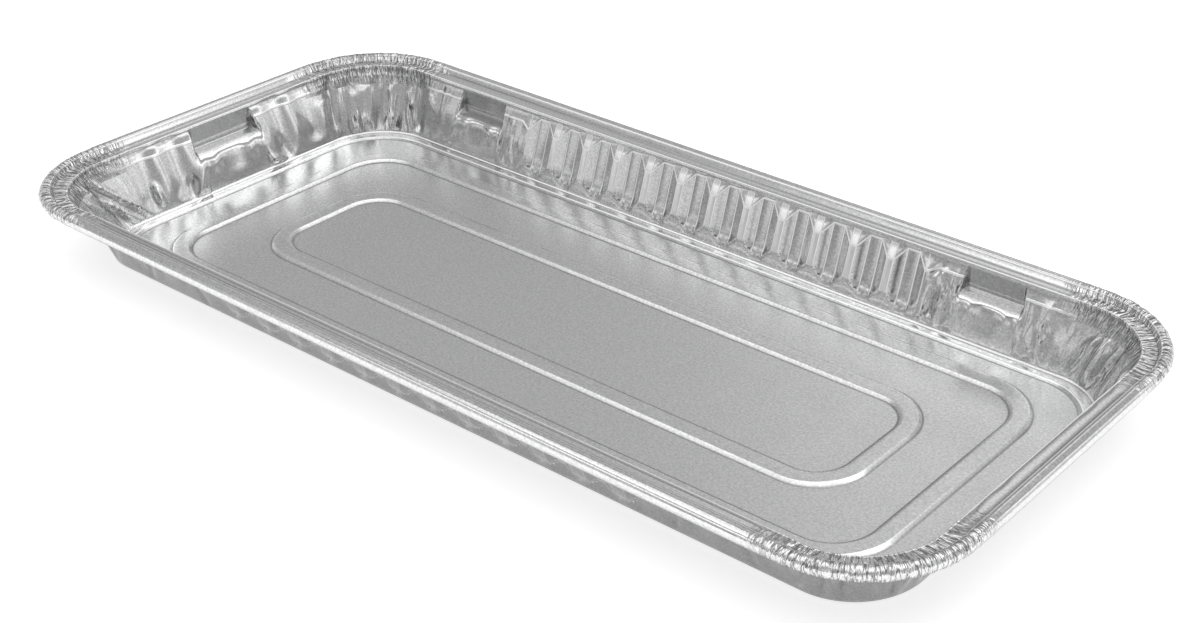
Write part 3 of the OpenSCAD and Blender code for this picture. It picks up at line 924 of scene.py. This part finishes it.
def build_pan():
    """The whole sheet as one closed shell: two skins half a foil to each side of the middle one."""
    floor_cols = make_columns(FLOOR_CORNER_STEPS, floor_places, FLOOR_STRETCH)
    floor, floor_run = build_floor(floor_cols)
    wall = build_wall_and_rim()
    floor_n = floor.shape[1]
    wall_n = wall.shape[1]
    wall_start = floor.shape[0] * floor_n
    points = np.concatenate([floor.reshape(-1, 3), wall.reshape(-1, 3)])
    quads = np.concatenate([
        grid_faces(0, floor.shape[0], floor_n), grid_faces(wall_start, wall.shape[0], wall_n),
    ])
    tris = zip_faces(
        wall_start - floor_n, floor_cols["address"], wall_start, wall_cols["address"]
    )
    up = skin_normals(points, quads, tris)
    # The flat middle panel isn't among the quads
    up[:floor_n] = (0, 0, 1)
    n = len(points)
    both = np.concatenate([points + up * HALF, points - up * HALF])
    last = n - wall_n
    j = np.arange(wall_n)
    k = (j + 1) % wall_n
    free_edge = np.stack([last + j, last + k, n + last + k, n + last + j], 1)
    panel = np.arange(floor_n)
    faces = [panel.tolist(), (n + panel)[::-1].tolist()]
    faces += quads.tolist() + (quads[:, ::-1] + n).tolist()
    faces += tris.tolist() + (tris[:, ::-1] + n).tolist()
    faces += free_edge.tolist()
    mesh = bpy.data.meshes.new("pan_foil")
    mesh.from_pydata((both * MM).tolist(), [], faces)
    mesh.update()
    mesh.polygons.foreach_set("use_smooth", np.ones(len(mesh.polygons), bool))

    # The fold value sets the foil's painted shade in valleys and painted highlight on ridges
    fold = fold_value(points, up, quads)
    for part in (slice(wall_start + CREST_ROW * wall_n, n),
                 slice(wall_start, wall_start + FOOT_FOLD_ROWS * wall_n)):
        fold[part] = np.maximum(fold[part], LEAST_FOLD)
    step = np.linalg.norm(np.diff(wall[:, PLAIN_COLUMN], axis=0), axis=1)
    wall_run = np.concatenate([[0.0], np.cumsum(step)]) - FOOT_ROWS[0]
    # under marks the lower skin, which the foil's material gives painted shade
    marks = {"fold": (fold, 1 - fold), "under": (np.zeros(n), np.ones(n))}
    for name, value in surface_marks(floor_run, wall_run, floor_n).items():
        marks[name] = (value, value)
    for name, skins in marks.items():
        values = mesh.attributes.new(name, "FLOAT", "POINT")
        values.data.foreach_set("value", np.concatenate(skins))
    # Places of the painted highlight lines and the painted shade lines round the pan
    highlight_runs = (0.05, -STRIP_W - 0.1, wall_run[EDGE_ROW], wall_run[ROLL_ROW + 1] + 0.15)
    shade_runs = (-0.85, -STRIP_W - STRIP_RUN - 0.3, wall_run[ROLL_ROW])
    mesh.materials.append(foil_material(highlight_runs, shade_runs))
    pan = bpy.data.objects.new("pan_foil", mesh)
    bpy.context.scene.collection.objects.link(pan)
    return pan


# Sockets of a Mix node that is set to colours: share, two colours and result
MIX_SHARE, MIX_FIRST, MIX_SECOND = 0, 6, 7
MIX_RESULT = 2


def grey(level):
    """A grey as a colour with full cover."""
    return (level, level, level, 1)


class NodeMaker:
    """Short ways to add nodes to one node tree; each returns the new node's result."""

    def __init__(self, tree):
        self.nodes = tree.nodes
        self.links = tree.links
        self.coords = self.nodes.new("ShaderNodeTexCoord")

    def put(self, value, socket):
        """Link another node's result to a socket, or set the socket to a plain value."""
        if isinstance(value, bpy.types.NodeSocket):
            self.links.new(value, socket)
        else:
            socket.default_value = value

    def add(self, kind, **inputs):
        """A new node with its inputs set or linked; _ in an input's name stands for a space."""
        node = self.nodes.new(kind)
        for name, value in inputs.items():
            self.put(value, node.inputs[name.replace("_", " ")])
        return node

    def value_of(self, name):
        """A number that the mesh has at its points."""
        node = self.nodes.new("ShaderNodeAttribute")
        node.attribute_name = name
        return node.outputs["Fac"]

    def calc(self, kind, *terms):
        """One step of arithmetic on one to three terms."""
        node = self.nodes.new("ShaderNodeMath")
        node.operation = kind
        for term, socket in zip(terms, node.inputs):
            self.put(term, socket)
        return node.outputs["Value"]

    def largest(self, values):
        """The largest of several values at each place."""
        top = values[0]
        for value in values[1:]:
            top = self.calc("MAXIMUM", top, value)
        return top

    def ramp(self, value, lo, hi, to_lo=0.0, to_hi=1.0, kind="LINEAR"):
        """to_lo where the value is lo or beyond, to_hi where it is hi or beyond, blended between."""
        node = self.add(
            "ShaderNodeMapRange",
            Value=value, From_Min=lo, From_Max=hi, To_Min=to_lo, To_Max=to_hi,
        )
        node.interpolation_type = kind
        return node.outputs["Result"]

    def band(self, value, lo, hi, soft):
        """1 between two values and 0 outside them, with soft borders."""
        rise = self.ramp(value, lo - soft, lo + soft)
        fall = self.ramp(value, hi + soft, hi - soft)
        return self.calc("MULTIPLY", rise, fall)

    def line(self, value, place, half, soft):
        """A band of a half width round one place."""
        return self.band(value, place - half, place + half, soft)

    def noise(self, scale, detail, stretch=(1, 1, 1), place=None):
        """Cloudy noise; place is the piece's own coordinates unless given."""
        if place is None:
            place = self.coords.outputs["Object"]
        placed = self.add("ShaderNodeMapping", Vector=place, Scale=stretch).outputs["Vector"]
        cloud = self.add("ShaderNodeTexNoise", Vector=placed, Scale=scale, Detail=detail)
        return cloud.outputs["Fac"]

    def mixed(self, share, first, second, kind="MIX"):
        """Two colours mixed, or with the kind MULTIPLY the first darkened by the second."""
        node = self.nodes.new("ShaderNodeMix")
        node.data_type = "RGBA"
        node.blend_type = kind
        self.put(share, node.inputs[MIX_SHARE])
        self.put(first, node.inputs[MIX_FIRST])
        self.put(second, node.inputs[MIX_SECOND])
        return node.outputs[MIX_RESULT]

    def shades(self, value, stops):
        """Greys along a value, straight between the stops, each a position and a grey."""
        node = self.add("ShaderNodeValToRGB", Fac=value)
        ends = node.color_ramp.elements
        ends[0].position, ends[1].position = stops[0][0], stops[-1][0]
        ends[0].color, ends[1].color = grey(stops[0][1]), grey(stops[-1][1])
        for position, level in stops[1:-1]:
            ends.new(position).color = grey(level)
        return node.outputs["Color"]

    def bump(self, height, distance, strength, before=None):
        """Small relief on top of the relief before it; distance is in metres."""
        node = self.add("ShaderNodeBump", Height=height, Distance=distance, Strength=strength)
        if before is not None:
            self.put(before, node.inputs["Normal"])
        return node.outputs["Normal"]


def new_material(name):
    """A material, its shader and the maker of its other nodes."""
    mat = bpy.data.materials.new(name)
    mat.use_nodes = True
    return mat, mat.node_tree.nodes["Principled BSDF"], NodeMaker(mat.node_tree)


# Foil: two ends of its grain, the light end also the colour of the painted highlight lines, and
# greys from painted shade in a fold's valley to a painted highlight on its ridge
FOIL_DARK = (0.74, 0.743, 0.746, 1)
GRAIN_LIGHT_AND_HIGHLIGHT = (1.0, 1.0, 1.0, 1)
FOLD_SHADE_GREYS = ((0.0, 0.26), (0.42, 0.77), (0.58, 0.80), (1.0, 1.0))
# Grey of the painted shade on the underside skin and on the lugs' faces
PAINTED_SHADE_GREY = 0.45
# Grey of the painted shade in the rim's creases and along the painted shade lines
CREASE_SHADE_GREY = 0.16
# Painted highlight lines and painted shade lines on the foil: half widths and softness, in
# millimetres
HIGHLIGHT_LINE = (0.3, 0.15)
SHADE_LINE = (0.25, 0.2)
# Faces of the lugs that get painted shade, from the ledge's lower edge: the upright face behind the
# seat begins at its back, and the seat's front lies below
SEAT_BACK = LUG_SEAT - (FOOT_Z + SLOPE_H_SIDE) + 1.6
SEAT_FRONT = (SEAT_BACK - 4.6, SEAT_BACK - 2.3)


def painted_highlight_lines(make, run, crest, smooth_edge, highlight_runs):
    """Thin painted highlight lines: glints on the creases of the flutes' facets, along the heads'
    upper edge, and round the pan.

    smooth_edge is 1 where the ledge's lower edge is plain, 0 at lugs and corners.
    """
    at = make.value_of("flute_at")
    facing = make.calc("MULTIPLY_ADD", make.value_of("slant"), -1.0, crest)
    facets_foot = SLOPE_H_SIDE - FACET_RAMP[0] + FACET_RAMP[1] + 2.0
    on_flute = make.band(facing, -facets_foot, 0.4, 0.3)
    crease = make.calc(
        "ADD", make.line(at, FLUTE_BED / 2, *HIGHLIGHT_LINE), make.line(at, FLUTE_W / 2, *HIGHLIGHT_LINE)
    )
    heads = make.calc("MULTIPLY", make.band(crest, -0.5, 0.55, 0.15), smooth_edge)
    round_pan = [make.line(run, place, *HIGHLIGHT_LINE) for place in highlight_runs]
    return make.largest([make.calc("MULTIPLY", crease, on_flute), heads] + round_pan)


def foil_material(highlight_runs, shade_runs):
    """Satin aluminium foil with changing gloss.

    The colour is a fine grain with painted light and shade on it: painted shade in the valleys of
    the folds and a painted highlight on their ridges, painted shade on the underside and the lugs'
    faces, thin painted highlight lines and, over them, thin painted shade lines and painted shade in
    the rim's creases. The relief is faint waves, rolling lines along the sheet, the gathers of the
    corners' rim, and the highlight lines. Painted highlight lines and painted shade lines run round
    the pan at the given places of the "run" attribute.
    """
    mat, shader, make = new_material("foil")
    gather = make.value_of("gather")
    crest = make.value_of("crest")
    run = make.value_of("run")
    lug = make.value_of("lug")
    on_rim = make.band(crest, 0.0, 90.0, 2.0)
    on_floor = make.band(run, -300.0, -5.0, 1.0)

    # Fine gathers of the corners: noise drawn out across the rim, faint below it
    round_rim = make.add("ShaderNodeCombineXYZ", X=make.value_of("along"), Y=run)
    gathers = make.noise(0.85, 2, (1.0, 0.12, 1.0), round_rim.outputs["Vector"])
    gathered = make.calc("MULTIPLY", gather, make.calc("MULTIPLY_ADD", on_rim, 0.93, 0.07))

    smooth_edge = make.calc("MULTIPLY_ADD", make.calc("MAXIMUM", lug, gather), -1.0, 1.0)
    painted_highlight = painted_highlight_lines(make, run, crest, smooth_edge, highlight_runs)
    # Painted shade lines along the valleys round the pan, and painted shade in the rim's crimp
    # creases at the corners
    dark = make.largest([make.line(run, place, *SHADE_LINE) for place in shade_runs])
    creases = make.calc("MULTIPLY", on_rim, make.band(gathers, 0.47, 0.53, 0.02))
    creases = make.calc("MULTIPLY", gather, creases)
    all_painted_shade = make.calc(
        "MAXIMUM", make.calc("MULTIPLY", creases, 0.8), make.calc("MULTIPLY", dark, 0.55)
    )

    # Painted shade on the lugs' upright faces and seat fronts, and on the whole underside skin
    upright = make.calc("MULTIPLY", lug, make.band(crest, SEAT_BACK, 5.0, 0.3))
    front = make.calc("MULTIPLY", lug, make.band(crest, *SEAT_FRONT, 0.5))
    lug_painted_shade = make.calc("MULTIPLY", make.calc("MAXIMUM", upright, front), 0.75)
    underside_and_lug_shade = make.calc("MAXIMUM", make.value_of("under"), lug_painted_shade)

    grain = make.ramp(make.noise(1250, 2, (0.75, 1, 1)), 0.3, 0.7)
    colour = make.mixed(grain, FOIL_DARK, GRAIN_LIGHT_AND_HIGHLIGHT)
    # Painted shade in the valleys of the folds and a painted highlight on their ridges, from how
    # sharply the sheet bends
    fold_shade = make.shades(make.value_of("fold"), FOLD_SHADE_GREYS)
    colour = make.mixed(1.0, colour, fold_shade, "MULTIPLY")
    # Painted highlight lines, in the lightest grey
    colour = make.mixed(painted_highlight, colour, GRAIN_LIGHT_AND_HIGHLIGHT)
    colour = make.mixed(underside_and_lug_shade, colour, grey(PAINTED_SHADE_GREY), "MULTIPLY")
    colour = make.mixed(all_painted_shade, colour, grey(CREASE_SHADE_GREY))
    make.put(colour, shader.inputs["Base Color"])

    gloss = make.ramp(make.noise(60, 4), 0.3, 0.7, 0.12, 0.18)
    make.put(make.calc("MULTIPLY_ADD", on_floor, 0.1, gloss), shader.inputs["Roughness"])
    # The painted highlight lines are also made less metallic, so that they glint in any light
    make.put(make.calc("MULTIPLY_ADD", painted_highlight, -0.75, 1.0), shader.inputs["Metallic"])

    relief = make.bump(make.noise(22, 2), 0.0006, 0.2)
    relief = make.bump(make.noise(700, 2, (0.02, 1, 1)), 0.00003, 0.4, relief)
    relief = make.bump(make.calc("MULTIPLY", gathers, gathered), 0.0022, 1.0, relief)
    make.put(make.bump(painted_highlight, 0.00012, 1.0, relief), shader.inputs["Normal"])
    return mat


# The ground: half its width and its depth under the pan in metres, its grey and its glow
GROUND_HALF = 12.0
GROUND_BELOW = 0.0002
GROUND_GREY = 0.62
GROUND_GLOW = 0.68


def make_ground():
    """A wide matt ground just under the pan: a pale grey with a trace of unevenness, and a glow."""
    mat, shader, make = new_material("ground_white")
    shader.inputs["Roughness"].default_value = 0.9
    shader.inputs["Emission Color"].default_value = grey(1)
    shader.inputs["Emission Strength"].default_value = GROUND_GLOW
    colour = make.mixed(make.noise(3, 2), grey(GROUND_GREY), grey(GROUND_GREY * 1.01))
    make.put(colour, shader.inputs["Base Color"])
    size = GROUND_HALF
    mesh = bpy.data.meshes.new("ground")
    verts = [(-size, -size, 0), (size, -size, 0), (size, size, 0), (-size, size, 0)]
    mesh.from_pydata(verts, [], [(0, 1, 2, 3)])
    mesh.materials.append(mat)
    ground = bpy.data.objects.new("ground", mesh)
    ground.location = (0, 0, -GROUND_BELOW)
    bpy.context.scene.collection.objects.link(ground)


# The photograph's frame in pixels, and its camera: focal length and the point it looks at, both in
# pixels, its place in millimetres, and its yaw, pitch and roll in degrees
FRAME_W = 1200
FRAME_H = 623
FOCAL_PX = 1865.2
CENTRE_PX = (811.14, 322.05)
CAMERA_PLACE = (451.89, -460.06, 344.84 + RIM_Z)
CAMERA_TURN = (-36.0733, 30.2936, -0.99814)
SENSOR_W = 36.0


def add_camera():
    """The photograph's camera, shifted to its off-centre frame."""
    yaw, pitch, roll = (math.radians(a) for a in CAMERA_TURN)
    ahead = Vector((
        math.sin(yaw) * math.cos(pitch), math.cos(yaw) * math.cos(pitch), -math.sin(pitch)
    ))
    level = Vector((math.cos(yaw), -math.sin(yaw), 0))
    down = ahead.cross(level)
    right = math.cos(roll) * level + math.sin(roll) * down
    lower = -math.sin(roll) * level + math.cos(roll) * down
    turn = Matrix((
        (right.x, -lower.x, -ahead.x),
        (right.y, -lower.y, -ahead.y),
        (right.z, -lower.z, -ahead.z),
    )).to_4x4()
    data = bpy.data.cameras.new("camera")
    data.sensor_fit = "HORIZONTAL"
    data.sensor_width = SENSOR_W
    data.lens = SENSOR_W * FOCAL_PX / FRAME_W
    data.shift_x = (FRAME_W / 2 - CENTRE_PX[0]) / FRAME_W
    data.shift_y = (CENTRE_PX[1] - FRAME_H / 2) / FRAME_W
    data.clip_start = 0.01
    data.clip_end = 60
    camera = bpy.data.objects.new("camera", data)
    camera.matrix_world = Matrix.Translation(Vector(CAMERA_PLACE) * MM) @ turn
    bpy.context.scene.collection.objects.link(camera)
    bpy.context.scene.camera = camera


# The lamp over the pan: place and size in metres, and power in watts
LAMP_PLACE = (0.1, -0.1, 1.6)
LAMP_SIZE = (2.6, 2.2)
LAMP_POWER = 13


def add_lamp():
    """A soft wide lamp over the pan, facing its middle."""
    data = bpy.data.lights.new("overhead", "AREA")
    data.shape = "RECTANGLE"
    data.size, data.size_y = LAMP_SIZE
    data.energy = LAMP_POWER
    lamp = bpy.data.objects.new("overhead", data)
    lamp.location = LAMP_PLACE
    lamp.rotation_euler = (-Vector(LAMP_PLACE)).to_track_quat("-Z", "Y").to_euler()
    bpy.context.scene.collection.objects.link(lamp)


# Light of the room, and its panels: azimuth, half width, softness, height, half height, softness
# (all in degrees), and strength, negative for a dark panel
ROOM_GREY = 0.47
ROOM_PANELS = [
    (0, 200, 10, 84, 12, 10, 0.30),
    (134, 30, 14, 31, 5, 5, 0.12),
    (119, 8, 7, 34, 6, 5, 0.42),
    (132, 20, 10, 19, 4, 3, -0.20),
    (206, 8, 3, 9, 6, 4, -0.36),
    (185, 10, 5, 12, 12, 6, 0.40),
    (228, 8, 3, 6, 8, 4, 0.34),
    (243, 4, 3, 5, 7, 3, -0.10),
    (260, 9, 2, 9, 7, 4, 0.36),
    (282, 9, 2, 9, 9, 4, -0.42),
    (231, 12, 4, 28, 6, 3, 0.95),
    (249, 10, 4, 33, 4, 4, -0.28),
    (222, 20, 8, 49, 5, 4, 1.20),
    (108, 16, 8, 57, 8, 6, 0.90),
    (48, 26, 10, 55, 9, 6, 1.50),
    (35, 18, 6, 12, 9, 5, 0.22),
    (29, 4, 3, 12, 9, 5, 0.45),
    (43, 3, 3, 12, 9, 5, 0.40),
    (36, 20, 6, 25, 4, 3, 1.10),
    (75, 22, 8, 14, 10, 8, 0.40),
    (310, 12, 6, 10, 12, 8, 0.55),
    (350, 8, 6, 8, 12, 6, -0.30),
]
ROOM_LEAST = 0.02


def add_room():
    """A grey room with soft bright and dark panels round it.

    The light from a direction is ROOM_GREY plus each panel's strength, faded with a smooth step
    from the panel's middle to its border in azimuth and in height over the horizon.
    """
    world = bpy.data.worlds.new("room")
    bpy.context.scene.world = world
    world.use_nodes = True
    make = NodeMaker(world.node_tree)
    split = make.add("ShaderNodeSeparateXYZ", Vector=make.coords.outputs["Generated"])

    def fade(off, half, soft):
        """1 within the half width, 0 beyond it, with a smooth border."""
        border = math.radians(half + soft)
        inner = math.radians(max(half - soft, 0))
        return make.ramp(make.calc("ABSOLUTE", off), border, inner, kind="SMOOTHSTEP")

    azimuth = make.calc("ARCTAN2", split.outputs["Y"], split.outputs["X"])
    height = make.calc("ARCSINE", split.outputs["Z"])
    light = ROOM_GREY
    for az, half_az, soft_az, el, half_el, soft_el, strength in ROOM_PANELS:
        turned = make.calc("SUBTRACT", azimuth, math.radians(az))
        across = fade(make.calc("WRAP", turned, math.pi, -math.pi), half_az, soft_az)
        upwards = fade(make.calc("SUBTRACT", height, math.radians(el)), half_el, soft_el)
        panel = make.calc("MULTIPLY", across, upwards)
        light = make.calc("MULTIPLY_ADD", panel, strength, light)
    light = make.calc("MAXIMUM", light, ROOM_LEAST)
    back = world.node_tree.nodes["Background"]
    make.put(light, back.inputs["Strength"])
    back.inputs["Color"].default_value = grey(1)


pan = build_pan()
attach(pan, "root")
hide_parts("pan")

make_ground()
add_camera()
add_room()
add_lamp()

bpy.context.scene.view_settings.view_transform = "Standard"
